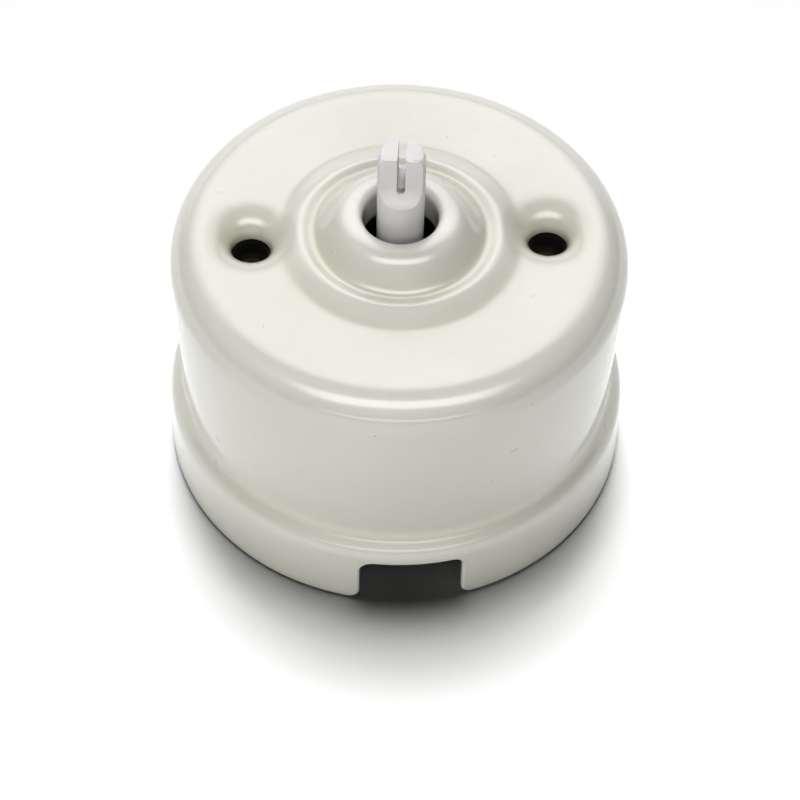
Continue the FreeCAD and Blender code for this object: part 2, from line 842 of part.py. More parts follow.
def terminal(label, angle):
    """A drilled block: wire hole across it, clamp screw hole from above, fixing hole from below."""
    body = new_body(f"{label}_body")
    brass = add(
        body, "AdditiveBox", f"{label}_block",
        Length="terminal_length", Width="terminal_width", Height="terminal_height",
    )
    place(brass, terminal_face, "-terminal_width / 2", terminal_bottom)
    rounded(body, f"{label}_edges", "terminal_edge", runs_along(up))
    wire = add(
        body, "SubtractiveCylinder", f"{label}_wire_hole", Radius="wire_hole_radius", Height="terminal_length"
    )
    place(lying(wire, FreeCAD.Vector(1, 0, 0)), terminal_face, "0", wire_hole_level)
    clamp = add(
        body, "SubtractiveCylinder", f"{label}_clamp_hole",
        Radius="clamp_radius + seat_clearance", Height="wire_hole_drop",
    )
    place(clamp, terminal_middle, "0", wire_hole_level)
    fixing = add(
        body, "SubtractiveCylinder", f"{label}_fixing_hole",
        Radius="fixing_radius + seat_clearance", Height="fixing_bite + seat_clearance",
    )
    place(fixing, terminal_middle, "0", terminal_bottom)
    body.Placement = FreeCAD.Placement(FreeCAD.Vector(), FreeCAD.Rotation(up, angle))
    return finish(body, label)


def terminals():
    for name, angle, level in fingers:
        terminal(f"terminal_{name}", angle)


def terminal_screws():
    shank = cylinder("clamp_shank", "clamp_radius", "wire_hole_drop", terminal_middle, z=wire_hole_level)
    head = cylinder("clamp_head", "clamp_head_radius", "clamp_head_height", terminal_middle, z=terminal_top)
    slot = block(
        "clamp_slot", "2 * clamp_head_radius", "driver_slot_width", "driver_slot_depth", terminal_middle,
        z=f"{terminal_top} + clamp_head_height - driver_slot_depth",
    )
    screw = cut("clamp_screw", fuse("clamp_body", shank, head), slot)
    return finish(group("clamp_screw_set", *around("clamp_screw", screw, way_angles)), "terminal_screws")


def check_and_write():
    doc.recompute()
    for item in doc.Objects:
        if "Invalid" in item.State or "Error" in item.State:
            raise RuntimeError(f"{item.Label} did not build: {item.State}")
    for piece in pieces:
        if piece.Shape.isNull() or not piece.Shape.isValid() or not piece.Shape.Solids:
            raise RuntimeError(f"{piece.Label} has no sound shape")
    os.makedirs("parts", exist_ok=True)
    for piece in pieces:
        piece.Shape.exportStep(os.path.join("parts", f"{piece.Label}.step"))
        print(f"{piece.Label}: {len(piece.Shape.Solids)} solid(s), {piece.Shape.Volume:.1f} mm3")


porcelain_cover()
mounting_base()
rear_insulator()
pillar_inserts()
spindle()
thrust_washer()
contact_drum()
contact_sleeve()
detent_cam()
detent_springs()
detent_housing()
contact_fingers()
contact_tips()
terminals()
terminal_screws()
fixing_screws()
check_and_write()
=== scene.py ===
import json
import math
import bpy
import numpy as np
from mathutils import Matrix, Vector

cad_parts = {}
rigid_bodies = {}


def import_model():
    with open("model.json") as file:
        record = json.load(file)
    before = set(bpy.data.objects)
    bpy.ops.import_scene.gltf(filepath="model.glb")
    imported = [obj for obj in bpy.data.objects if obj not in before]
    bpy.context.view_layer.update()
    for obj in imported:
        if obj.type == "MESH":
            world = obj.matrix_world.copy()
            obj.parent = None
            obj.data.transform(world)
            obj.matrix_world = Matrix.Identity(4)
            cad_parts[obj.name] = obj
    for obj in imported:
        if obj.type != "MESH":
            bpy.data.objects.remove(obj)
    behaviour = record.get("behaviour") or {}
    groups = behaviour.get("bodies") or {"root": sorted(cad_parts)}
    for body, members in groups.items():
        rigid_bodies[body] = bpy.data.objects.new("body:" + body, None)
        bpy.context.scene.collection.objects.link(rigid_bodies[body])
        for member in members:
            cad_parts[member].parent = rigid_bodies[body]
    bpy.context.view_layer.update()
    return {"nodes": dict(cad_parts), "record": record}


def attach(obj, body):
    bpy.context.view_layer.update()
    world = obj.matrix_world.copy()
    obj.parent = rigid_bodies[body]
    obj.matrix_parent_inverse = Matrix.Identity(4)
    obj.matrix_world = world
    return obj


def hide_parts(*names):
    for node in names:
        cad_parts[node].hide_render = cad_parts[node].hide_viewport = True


# A surface-mounted rotary switch: glazed porcelain cover, white plastic spindle, moulded base, brass inside.
# Sizes in the dictionaries are millimetres and degrees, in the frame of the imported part.

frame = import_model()
nodes = frame["nodes"]
mm = 0.001
print("frame loaded:", len(nodes), "pieces")


# Line and mesh helpers

# a line through corners (a, b, round): each round is an arc that touches both edges, sampled every step
def roundedLine(corners, step):
    points = np.array([corner[:2] for corner in corners], float)
    rounds = [corner[2] if len(corner) > 2 else 0 for corner in corners]
    runs = [points[:1]]
    for before, here, after, size in zip(points, points[1:], points[2:], rounds[1:]):
        into = (here - before) / np.linalg.norm(here - before)
        out = (after - here) / np.linalg.norm(after - here)
        turn = math.acos(np.clip(into @ out, -1, 1))
        side = np.sign(into[0] * out[1] - into[1] * out[0])
        reach = size * math.tan(turn / 2)
        centre = here - into * reach + side * size * np.array([-into[1], into[0]])
        start = math.atan2(*(here - into * reach - centre)[::-1])
        angles = start + side * np.linspace(0, turn, max(2, int(size * turn / step) + 2))
        arc = centre + size * np.stack([np.cos(angles), np.sin(angles)], 1)
        runs.append(arc if size > 0 else here[None])
    rough = np.concatenate(runs + [points[-1:]])
    return evenly(rough, step)


# the same line with points an even step apart
def evenly(line, step):
    along = lengthAlong(line)
    stops = np.linspace(0, along[-1], int(along[-1] / step) + 2)
    return np.stack([np.interp(stops, along, line[:, 0]), np.interp(stops, along, line[:, 1])], 1)


def lengthAlong(line):
    return np.concatenate([[0], np.cumsum(np.linalg.norm(np.diff(line, axis=0), axis=1))])


def stepOf(line):
    return lengthAlong(line)[-1] / (len(line) - 1)


bellWidths = 4  # how far the bell curve below reaches to each side, in its own widths


# a running mean weighted by a bell curve softens an evenly stepped line and holds its two ends
def softened(line, step, width):
    reach = int(bellWidths * width / step)
    weights = np.exp(-0.5 * (np.arange(-reach, reach + 1) * step / width) ** 2)
    weights /= weights.sum()
    padded = np.concatenate([2 * line[0] - line[reach:0:-1], line, 2 * line[-1] - line[-2:-reach - 2:-1]])
    return np.stack([np.convolve(padded[:, axis], weights, "valid") for axis in (0, 1)], 1)


# signed bend of an evenly stepped line, in radians to the millimetre: positive where it turns left
def bendOf(line, step):
    slope = np.gradient(line, step, axis=0)
    return np.gradient(np.unwrap(np.arctan2(slope[:, 1], slope[:, 0])), step)


# picks points so that none lie further apart than spacing, nor turn by more than turnDeg
def stations(line, step, spacing, turnDeg):
    density = 1 / spacing + np.abs(bendOf(line, step)) / math.radians(turnDeg)
    count = np.concatenate([[0], np.cumsum((density[1:] + density[:-1]) / 2 * step)])
    return np.interp(np.linspace(0, count[-1], int(count[-1]) + 2), count, np.arange(len(line)))


def atStations(values, picks):
    return np.interp(picks, np.arange(len(values)), values)


def pointsAt(line, picks):
    return np.stack([atStations(line[:, axis], picks) for axis in (0, 1)], 1)


# quads between the rows of a grid of vertex numbers
def gridFaces(numbers, closeRows=False, closeColumns=False):
    if closeRows:
        numbers = np.concatenate([numbers, numbers[:1]])
    if closeColumns:
        numbers = np.concatenate([numbers, numbers[:, :1]], 1)
    corners = numbers[:-1, :-1], numbers[1:, :-1], numbers[1:, 1:], numbers[:-1, 1:]
    return np.stack(corners, -1).reshape(-1, 4)


def newMesh(name, points, faces):
    mesh = bpy.data.meshes.new(name)
    mesh.from_pydata((points * mm).tolist(), [], faces)
    mesh.polygons.foreach_set("use_smooth", np.ones(len(mesh.polygons), bool))
    mesh.update()
    return mesh


def newPiece(name, mesh):
    piece = bpy.data.objects.new(name, mesh)
    bpy.context.scene.collection.objects.link(piece)
    return piece


# the piece with its modifiers made real
def applied(piece):
    bpy.context.view_layer.update()
    made = bpy.data.meshes.new_from_object(piece.evaluated_get(bpy.context.evaluated_depsgraph_get()))
    piece.modifiers.clear()
    old = piece.data
    piece.data = made
    bpy.data.meshes.remove(old)


def smoothStep(value, low, high):
    share = np.clip((value - low) / (high - low), 0, 1)
    return share * share * (3 - 2 * share)


# Porcelain cover

cover = dict(
    holeRadius=5.0, holeFoot=38.8, holeLand=0.6, holeRound=0.9, bossRadius=8.0, bossTop=43.9, bossRound=2.6,
    ringInner=(11.7, 39.9), ringOuter=(13.2, 40.9), ringRound=1.1,
    platformFoot=(16.6, 39.5), platformRound=1.6,
    topRadius=31.1, topLevel=40.1, rimRound=4.6,
    footRadius=30.2, footLevel=12.5, flangeRadius=32.5, flangeLean=0.3, flangeLevel=10.3, stepRound=2.6,
    cavityRadius=27.0, ceiling=36.2, ceilingRound=2.0, pocketRadius=9.5, pocketRound=0.4,
    glazeSoftness=0.5, poolAndShadeSoftness=0.9,
    screwAxis=20.0, screwNeck=2.6, neckLip=0.3, dishRadius=7.4, dishDepth=2.9, dishFade=2.2, dishPoolAndShade=0.5,
    circle=4.4, dishSamples=400, dishSpacing=0.2,
    windowRows=(14.7, 24.8), windowHalfAngle=15.5,
    notchHalf=7.0, notchShift=0.6, notchTop=8.1, notchRounds=(2.0, 1.2), notchFootRound=1.7, roofShare=0.3,
    edgeRound=0.55, innerEdgeRound=0.5, zoneTop=9.1, innerZoneTop=13.0, nearReach=18.0,
    rowSpacing=0.8, rowTurn=8.0, innerSpacing=1.8, innerTurn=14.0, fineStep=0.04, rimMargin=0.32,
    columnSpacing=0.6, columnTurn=12.0, farColumns=196, flangeRows=10, outerEdgeRows=6, wallRows=3,
    innerEdgeRows=6, insideRows=7, windowSteps=6, lipRows=5, ceilingSteps=2,
)


# the flange leans in a little as it rises
def flangeAt(level):
    return cover["flangeRadius"] - cover["flangeLean"] * level / cover["zoneTop"]


# fall of a screw hole's dish below the top: none at the dish's edge, then ever steeper, upright at the neck
def dishDrop(distance):
    c = cover
    inward = np.clip((c["dishRadius"] - distance) / (c["dishRadius"] - c["screwNeck"]), 0, 1)
    return c["dishDepth"] * (1 - np.sqrt(1 - inward ** c["dishFade"]))


# the same fall below each of an array of points
def dishBelow(points):
    return dishDrop(np.hypot(np.abs(points[..., 0]) - cover["screwAxis"], points[..., 1]))


# the outside from the spindle's hole to the flange as (radius, level), softened as glaze softens edges
def outsideLine():
    c = cover
    corners = [
        (c["holeRadius"], c["holeFoot"] + c["holeLand"]), (c["holeRadius"], c["bossTop"], c["holeRound"]),
        (c["bossRadius"], c["bossTop"], c["bossRound"]), (*c["ringInner"], c["ringRound"]),
        (*c["ringOuter"], c["ringRound"]), (*c["platformFoot"], c["platformRound"]),
        (c["topRadius"], c["topLevel"], c["rimRound"]), (c["footRadius"], c["footLevel"], c["stepRound"]),
        (flangeAt(c["flangeLevel"]), c["flangeLevel"], c["stepRound"]),
        (flangeAt(c["zoneTop"]), c["zoneTop"]),
    ]
    line = roundedLine(corners, c["fineStep"])
    step = stepOf(line)
    line = softened(line, step, c["glazeSoftness"])
    line[-1] = corners[-1]
    return line, step


# the inside from the cavity's wall to the spindle's hole, with the top's own row radii across the windows
def insideLine(windowRadius):
    c = cover
    runs = [
        [(c["cavityRadius"], c["innerZoneTop"]), (c["cavityRadius"], c["ceiling"], c["ceilingRound"]),
         (windowRadius[-1], c["ceiling"])],
        [(windowRadius[0], c["ceiling"]), (c["pocketRadius"], c["ceiling"], c["pocketRound"]),
         (c["pocketRadius"], c["holeFoot"], c["pocketRound"]),
         (c["holeRadius"], c["holeFoot"], c["pocketRound"]),
         (c["holeRadius"], c["holeFoot"] + c["holeLand"])],
    ]
    lines = []
    for corners in runs:
        line = roundedLine(corners, c["fineStep"])
        picks = stations(line, stepOf(line), c["innerSpacing"], c["innerTurn"])
        lines.append(pointsAt(line, picks)[1:-1])
    across = np.stack([windowRadius[::-1], np.full(len(windowRadius), c["ceiling"])], 1)
    return np.concatenate([lines[0], across, lines[1]]), len(lines[0])


# the path of the cover's lower edge across the front, as (x, z), up and over the cable notch
def notchPath():
    c = cover
    leftRound, rightRound = c["notchRounds"]
    left, right = c["notchShift"] - c["notchHalf"], c["notchShift"] + c["notchHalf"]
    corners = [
        (-c["nearReach"], 0), (left, 0, c["notchFootRound"]), (left, c["notchTop"], leftRound),
        (right, c["notchTop"], rightRound), (right, 0, c["notchFootRound"]), (c["nearReach"], 0),
    ]
    line = roundedLine(corners, c["fineStep"] / 2)
    step = stepOf(line)
    picks = stations(line, step, c["columnSpacing"], c["columnTurn"])
    path = pointsAt(line, picks)
    tangent = pointsAt(np.gradient(line, step, axis=0), picks)
    tangent /= np.linalg.norm(tangent, axis=1)[:, None]
    outward = np.stack([tangent[:, 1], -tangent[:, 0]], 1)
    # anchors spread the columns that climb the notch's sides along the flange above it
    along = picks * step
    raised = np.flatnonzero(path[:, 1] > c["notchTop"] - c["roofShare"] * rightRound)
    first, last, end = raised[0], raised[-1], c["nearReach"]
    anchor = path[:, 0].copy()
    anchor[:first] = np.interp(along[:first], [0, along[first]], [-end, path[first, 0]])
    anchor[last + 1:] = np.interp(along[last + 1:], [along[last], along[-1]], [path[last, 0], end])
    return path, outward, anchor


# columns of the grid: across the front they follow the lower edge's path, and elsewhere stand at even angles
def coverColumns():
    c = cover
    path, outward, anchor = notchPath()
    near = np.arcsin(anchor / c["flangeRadius"])
    far = np.linspace(near[-1], 2 * math.pi + near[0], c["farColumns"] + 2)[1:-1]
    blank = np.zeros(len(far))
    return dict(
        angle=np.concatenate([near, far]), isNear=np.arange(len(near) + len(far)) < len(near),
        anchorX=np.concatenate([anchor, blank]), edgeX=np.concatenate([path[:, 0], blank]),
        edgeZ=np.concatenate([path[:, 1], blank]), outX=np.concatenate([outward[:, 0], blank]),
        outZ=np.concatenate([outward[:, 1], blank - 1]),
    )


# the turn from the front at which a point of this radius has this x
def turnAt(x, radius):
    return np.arcsin(np.clip(x / radius, -1, 1))


def outerAngle(columns, x):
    return np.where(columns["isNear"], turnAt(x, cover["flangeRadius"]), columns["angle"])


# the notch's sides go straight back through the wall; further off the columns run along radii
def innerAngle(columns, x):
    c = cover
    straight = turnAt(x, c["cavityRadius"]) - turnAt(x, c["flangeRadius"])
    fade = 1 - smoothStep(np.abs(x - c["notchShift"]), c["notchHalf"] + c["notchFootRound"], c["nearReach"])
    return outerAngle(columns, x) + np.where(columns["isNear"], fade * straight, 0)


def around(radius, turn, level):
    return np.stack(np.broadcast_arrays(radius * np.sin(turn), -radius * np.cos(turn), level), -1)


# rows down the flange, round the outer edge, through the wall, round the inner edge and up the inside
def lowerRows(columns):
    c = cover
    edgeX, edgeZ, outX, outZ = (columns[key] for key in ("edgeX", "edgeZ", "outX", "outZ"))
    cavity, outerRound, innerRound = c["cavityRadius"], c["edgeRound"], c["innerEdgeRound"]
    share = np.linspace(0, 1, c["flangeRows"] + 1)[1:, None]
    x = (1 - share) * columns["anchorX"] + share * (edgeX - outerRound * outX)
    level = (1 - share) * c["zoneTop"] + share * (edgeZ - outerRound * outZ)
    flangeFace = around(flangeAt(level), outerAngle(columns, x), level)

    wall = c["flangeRadius"] - cavity
    swing = np.radians(np.linspace(0, 90, c["outerEdgeRows"] + 1))[1:, None]
    middle = np.linspace(outerRound, wall - innerRound, c["wallRows"] + 2)[1:-1, None]
    back = np.radians(np.linspace(90, 0, c["innerEdgeRows"]))[:, None]
    push = np.concatenate([outerRound * (np.sin(swing) - 1), 0 * middle, innerRound * (np.sin(back) - 1)])
    depth = np.concatenate([outerRound * (1 - np.cos(swing)), middle,
                            wall - innerRound * (1 - np.cos(back))])
    x, level = edgeX + push * outX, edgeZ + push * outZ
    inward = (depth / wall)[..., None]
    edge = ((1 - inward) * around(flangeAt(level), outerAngle(columns, x), level)
            + inward * around(cavity, innerAngle(columns, x), level))

    share = np.linspace(0, 1, c["insideRows"] + 1)[1:, None]
    turn = (1 - share) * innerAngle(columns, edgeX - innerRound * outX) + share * columns["angle"]
    inside = around(cavity, turn, (1 - share) * (edgeZ - innerRound * outZ) + share * c["innerZoneTop"])
    return flangeFace, edge, inside


# the rings of a screw hole, from the window's edge in the top to the one in the ceiling: they close in
# to a circle, go down the dish to the neck, then round the neck's lip and out along the ceiling
def screwRings(side, edge, topHeight):
    c = cover
    centre = np.array([side * c["screwAxis"], 0])
    heading = (edge - centre) / np.linalg.norm(edge - centre, axis=1)[:, None]
    blend = np.linspace(0, 1, c["windowSteps"] + 1)[1:, None, None]
    flat = (1 - blend) * edge + blend * (centre + c["circle"] * heading)
    reach = c["screwNeck"] + (c["circle"] - c["screwNeck"]) * np.linspace(1, 0, c["dishSamples"]) ** 2
    bowlLine = evenly(np.stack([reach, dishDrop(reach)], 1), c["dishSpacing"])[1:]
    bowl = centre + heading * bowlLine[:, 0, None, None]
    upper = np.concatenate([flat, bowl])
    distance = np.concatenate([np.linalg.norm(flat - centre, axis=-1),
                               np.broadcast_to(bowlLine[:, :1], bowl.shape[:2])])
    upperHeight = topHeight(np.linalg.norm(upper, axis=-1)) - dishDrop(distance)
    turn = np.radians(np.linspace(0, 90, c["lipRows"]))[:, None, None]
    lower = centre + heading * (c["screwNeck"] + c["neckLip"] * (1 - np.cos(turn)))
    lowerHeight = np.broadcast_to(c["ceiling"] + c["neckLip"] * (1 - np.sin(turn[..., 0])), lower.shape[:2])
    spread = np.linspace(0, 1, c["ceilingSteps"] + 2)[1:-1, None, None]
    outside = (1 - spread) * lower[-1:] + spread * edge
    plans = np.concatenate([upper, lower, outside])
    heights = np.concatenate([upperHeight, lowerHeight, np.full(outside.shape[:2], c["ceiling"])])
    return np.concatenate([plans, heights[..., None]], -1)


# one closed grid: rows go over the outside, under the lower edge and back inside; columns go round.
# Each screw hole is a tube of rings between a window in the top and the same window in the ceiling.
def coverMesh():
    c = cover
    line, step = outsideLine()
    picks = stations(line, step, c["rowSpacing"], c["rowTurn"])
    radius, level = (atStations(line[:, axis], picks) for axis in (0, 1))
    bend = atStations(bendOf(softened(line, step, c["poolAndShadeSoftness"]), step), picks)
    top = slice(np.argmax(line[:, 1]), np.argmax(line[:, 0] > c["topRadius"] - c["rimMargin"]))

    def topHeight(place):
        return np.interp(place, line[top, 0], line[top, 1])

    columns = coverColumns()
    angle = columns["angle"]
    outside = around(radius[:, None], angle[None], level[:, None])
    isTop = level > c["ceiling"]
    drop = dishBelow(outside) * isTop[:, None]
    outside[..., 2] -= drop
    onTop = np.flatnonzero(isTop)
    first, last = (onTop[np.argmin(np.abs(radius[onTop] - stop))] for stop in c["windowRows"])
    inner, beforeWindow = insideLine(radius[first:last + 1])
    flangeFace, edge, inside = lowerRows(columns)
    ceilingRows = around(inner[:, :1], angle[None], inner[:, 1:])
    grid = np.concatenate([outside, flangeFace, edge, inside, ceilingRows])
    count = grid.shape[:2]
    numbers = np.arange(count[0] * count[1]).reshape(count)
    # glaze pools where the outside bends inwards and in the dishes, and is thin on the lower edge; the
    # darker, warmer tint this gives the hollows and dishes is partly glaze pooling and partly painted shade
    poolAndShade = np.zeros(count)
    poolAndShade[:len(bend)] = bend[:, None] + c["dishPoolAndShade"] * np.sqrt(drop / c["dishDepth"])
    edgeStart = len(bend) + len(flangeFace)
    poolAndShade[edgeStart:edgeStart + len(edge)] = -1 / c["edgeRound"]

    faces = gridFaces(numbers, closeRows=True, closeColumns=True).reshape(*count, 4)
    keep = np.ones(count, bool)
    flatGrid = grid.reshape(-1, 3)
    points, poolsAndShade, tubes = [flatGrid], [poolAndShade.ravel()], []
    tall = last - first
    ceilingLast = count[0] - len(inner) + beforeWindow
    total = numbers.size
    for side in (1, -1):
        away = (angle - side * math.pi / 2 + math.pi) % (2 * math.pi) - math.pi
        window = np.flatnonzero(np.abs(away) < math.radians(c["windowHalfAngle"]))
        low, high = window[0], window[-1]
        wide = high - low
        keep[first:last, low:high] = False
        keep[ceilingLast:ceilingLast + tall, low:high] = False
        rowWalk = np.concatenate([np.full(wide, 0), np.arange(tall),
                                  np.full(wide, tall), np.arange(tall, 0, -1)])
        columnWalk = np.concatenate([np.arange(low, high), np.full(tall, high),
                                     np.arange(high, low, -1), np.full(tall, low)])
        topRing = numbers[first + rowWalk, columnWalk]
        ceilingRing = numbers[ceilingLast + tall - rowWalk, columnWalk]
        rings = screwRings(side, flatGrid[topRing, :2], topHeight)
        own = total + np.arange(rings.shape[0] * rings.shape[1]).reshape(rings.shape[:2])
        total += own.size
        tube = np.concatenate([topRing[None], own, ceilingRing[None]])
        tubes.append(gridFaces(tube, closeColumns=True))
        points.append(rings.reshape(-1, 3))
        # the dishes round the screw holes get the darker tint: partly glaze pooling, partly painted shade
        poolsAndShade.append(c["dishPoolAndShade"] * np.sqrt(dishBelow(rings) / c["dishDepth"]).ravel())
    return np.concatenate(points), np.concatenate([faces[keep]] + tubes), np.concatenate(poolsAndShade)


def buildCover():
    points, faces, poolAndShade = coverMesh()
    mesh = newMesh("glazed_cover", points, faces.tolist())
    # per point: how far towards the darker tint, partly glaze pooling and partly painted shade in hollows
    # and dishes
    depth = mesh.attributes.new("glazePoolAndShade", "FLOAT", "POINT")
    depth.data.foreach_set("value", poolAndShade.astype(np.float32))
    piece = newPiece("glazed_cover", mesh)
    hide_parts("porcelain_cover")
    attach(piece, "switch_body")
    print("cover:", len(points), "points,", len(faces), "faces")
    return piece


coverPiece = buildCover()


# Spindle

spindle = dict(
    foot=2.2, pivotRadius=2.0, keyFoot=5.45, keyHalf=2.1, keyRound=0.15, collarFoot=18.95, collarRadius=5.0,
    collarTop=20.95, shaftRadius=3.5, shoulder=37.5, knobRadius=3.15, top=55.0, leadIn=(0.35, 1.1),
    flatFoot=47.7, flatOffset=1.45, flatRunout=1.7, runoutRise=2.3, flatAngle=-6.0,
    slotHalf=0.55, slotFoot=48.9, slotEnd=57.0, pitRadius=0.5, pitPlace=-0.75, pitFoot=48.1,
    edgeRound=0.25, topRound=0.3, bevel=0.09, bevelAngle=32.0, bevelSegments=2, endRadius=0.05,
    flatColumns=16, arcColumns=56, slotPoints=17, pitColumns=24, step=0.02, rowSpacing=1.6, rowTurn=12.0,
    runoutRows=40, runoutSpan=(-0.1, 1.2), runoutClear=1.3, keySlack=0.2, hair=0.001, leastCosine=0.05,
)


# rows of the turned form as (radius, level): a rounded line from the foot's centre to the top's
def spindleRows():
    s = spindle
    knob = s["knobRadius"]
    inset, drop = s["leadIn"]
    edge, crown = s["edgeRound"], s["topRound"]
    line = roundedLine([
        (s["endRadius"], s["foot"]), (s["pivotRadius"], s["foot"], edge), (s["pivotRadius"], s["keyFoot"]),
        (s["keyHalf"], s["keyFoot"]), (s["keyHalf"], s["collarFoot"]),
        (s["collarRadius"], s["collarFoot"], edge), (s["collarRadius"], s["collarTop"], edge),
        (s["shaftRadius"], s["collarTop"], edge), (s["shaftRadius"], s["shoulder"], edge),
        (knob, s["shoulder"], edge), (knob, s["top"] - drop, crown),
        (knob - inset, s["top"], crown), (s["endRadius"], s["top"]),
    ], s["step"])
    step = stepOf(line)
    picks = stations(line, step, s["rowSpacing"], s["rowTurn"])
    ledge = np.interp(s["flatFoot"], line[:, 1], np.arange(len(line)))
    clear = np.abs(line[picks.astype(int), 1] - s["flatFoot"]) > s["runoutClear"] * s["runoutRise"]
    extra = ledge + np.linspace(*s["runoutSpan"], s["runoutRows"]) * s["runoutRise"] / step
    picks = np.sort(np.concatenate([picks[clear], extra]))
    return atStations(line[:, 0], picks), atStations(line[:, 1], picks)


# each row is a circle, a square where the key is, or a circle cut by the flat,
# which runs out below in a hollow round
def spindleMesh():
    s = spindle
    radius, level = spindleRows()
    corner = math.acos(s["flatOffset"] / s["knobRadius"])
    turn = np.concatenate([np.linspace(-corner, corner, s["flatColumns"], endpoint=False),
                           np.linspace(corner, 2 * math.pi - corner, s["arcColumns"], endpoint=False)])
    rise = (level - s["flatFoot"]) / s["runoutRise"]
    fillet = 1 - np.sqrt(np.clip(1 - np.clip(1 - rise, 0, 1) ** 2, 0, 1))
    offset = np.where(rise < 0, 2 * s["knobRadius"], s["flatOffset"] + s["flatRunout"] * fillet)
    offset = np.where(rise > 1, s["flatOffset"], offset)
    shrink = np.where(level > s["top"] - s["hair"], radius / (s["knobRadius"] - s["leadIn"][0]), 1)
    ahead, least = np.cos(turn)[None], s["leastCosine"]
    toFlat = (offset * np.clip(shrink, 0, 1))[:, None] / np.clip(ahead, least, None)
    reach = np.where(ahead > least, np.minimum(radius[:, None], toFlat), radius[:, None])
    keyTurn = turn + math.radians(s["flatAngle"])
    square = s["keyHalf"] / np.maximum(np.abs(np.cos(keyTurn)), np.abs(np.sin(keyTurn)))
    square = np.minimum(square, s["keyHalf"] * math.sqrt(2) - s["keyRound"])
    isKey = (level > s["keyFoot"] - s["hair"]) & (level < s["collarFoot"] + s["hair"])
    isKey &= (radius > s["keyHalf"] - s["hair"]) & (radius < s["keyHalf"] + s["keySlack"])
    reach = np.where(isKey[:, None], square[None], reach)
    grid = around(reach, turn, level[:, None])
    numbers = np.arange(reach.size).reshape(reach.shape)
    faces = gridFaces(numbers, closeColumns=True)[:, ::-1].tolist()
    ends = [numbers[0].tolist(), numbers[-1][::-1].tolist()]
    return grid.reshape(-1, 3), faces + ends


# a bar with a half-round foot, front to back through the spindle's top
def slotMesh():
    s = spindle
    swing = np.radians(np.linspace(180, 360, s["slotPoints"]))
    half = s["slotHalf"]
    x = np.concatenate([half * np.cos(swing), [half, -half]])
    z = np.concatenate([s["slotFoot"] + half + half * np.sin(swing), [s["slotEnd"], s["slotEnd"]]])
    ends = np.array([-1, 1])[:, None] * 2 * s["knobRadius"]
    grid = np.stack(np.broadcast_arrays(x[None], ends, z[None]), -1)
    numbers = np.arange(2 * len(x)).reshape(2, -1)
    faces = gridFaces(numbers, closeColumns=True).tolist()
    return grid.reshape(-1, 3), faces + [numbers[0][::-1].tolist(), numbers[1].tolist()]


# a round bar standing in the slot's root
def pitMesh():
    s = spindle
    turn = np.linspace(0, 2 * math.pi, s["pitColumns"], endpoint=False)
    levels = np.array([s["pitFoot"], s["slotEnd"]])[:, None]
    x, y = s["pitRadius"] * np.cos(turn), s["pitPlace"] + s["pitRadius"] * np.sin(turn)
    grid = np.stack(np.broadcast_arrays(x[None], y[None], levels), -1)
    numbers = np.arange(2 * len(turn)).reshape(2, -1)
    faces = gridFaces(numbers, closeColumns=True)[:, ::-1].tolist()
    return grid.reshape(-1, 3), faces + [numbers[0][::-1].tolist(), numbers[1].tolist()]


def turnedAboutZ(points, degrees):
    angle = math.radians(degrees)
    cosine, sine = math.cos(angle), math.sin(angle)
    return points @ np.array([[cosine, sine, 0], [-sine, cosine, 0], [0, 0, 1]])


def buildSpindle():
    s = spindle
    points, faces = spindleMesh()
    mesh = newMesh("slotted_spindle", turnedAboutZ(points, s["flatAngle"]), faces)
    piece = newPiece("slotted_spindle", mesh)
    cutters = []
    for name, (cutPoints, cutFaces) in {"slot": slotMesh(), "pit": pitMesh()}.items():
        cutter = newPiece(name, newMesh(name, turnedAboutZ(cutPoints, s["flatAngle"]), cutFaces))
        cut = piece.modifiers.new(name, "BOOLEAN")
        cut.object = cutter
        cut.operation = "DIFFERENCE"
        cut.solver = "EXACT"
        cutters.append(cutter)
    soft = piece.modifiers.new("soft edges", "BEVEL")
    soft.width = s["bevel"] * mm
    soft.segments = s["bevelSegments"]
    soft.limit_method = "ANGLE"
    soft.angle_limit = math.radians(s["bevelAngle"])
    soft.harden_normals = True
    applied(piece)
    for cutter in cutters:
        bpy.data.objects.remove(cutter)
    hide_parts("spindle")
    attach(piece, "rotor")
    print("spindle:", len(piece.data.polygons), "faces")
    return piece


spindlePiece = buildSpindle()


# Finishes

# a socket that takes part in sums: each operator adds a Math node
class Wire:
    def __init__(self, owner, socket):
        self.owner, self.socket = owner, socket

    def __add__(self, other):
        return self.owner.maths("ADD", self, other)

    def __sub__(self, other):
        return self.owner.maths("SUBTRACT", self, other)

    def __rsub__(self, other):
        return self.owner.maths("SUBTRACT", other, self)

    def __mul__(self, other):
        return self.owner.maths("MULTIPLY", self, other)

    def __lt__(self, other):
        return self.owner.maths("LESS_THAN", self, other)

    def __gt__(self, other):
        return self.owner.maths("GREATER_THAN", self, other)

    __radd__ = __add__
    __rmul__ = __mul__


# the nodes of one tree, a material's or a lamp's
class Nodes:
    def __init__(self, tree):
        self.tree = tree

    def put(self, socket, value):
        if isinstance(value, Wire):
            self.tree.links.new(value.socket, socket)
        else:
            socket.default_value = value

    # any node: its settings first, then its sockets' values or links, by name or as _ and a number;
    # gives back the output asked for
    def node(self, kind, output, settings=None, **sockets):
        made = self.tree.nodes.new(kind)
        for name, value in (settings or {}).items():
            setattr(made, name, value)
        for name, value in sockets.items():
            key = int(name[1:]) if name[1:].isdigit() else name.replace("_", " ")
            self.put(made.inputs[key], value)
        return Wire(self, made.outputs[output])

    def maths(self, operation, a, b):
        return self.node("ShaderNodeMath", 0, {"operation": operation}, _0=a, _1=b)

    def clamped(self, value):
        return self.node("ShaderNodeClamp", 0, Value=value)


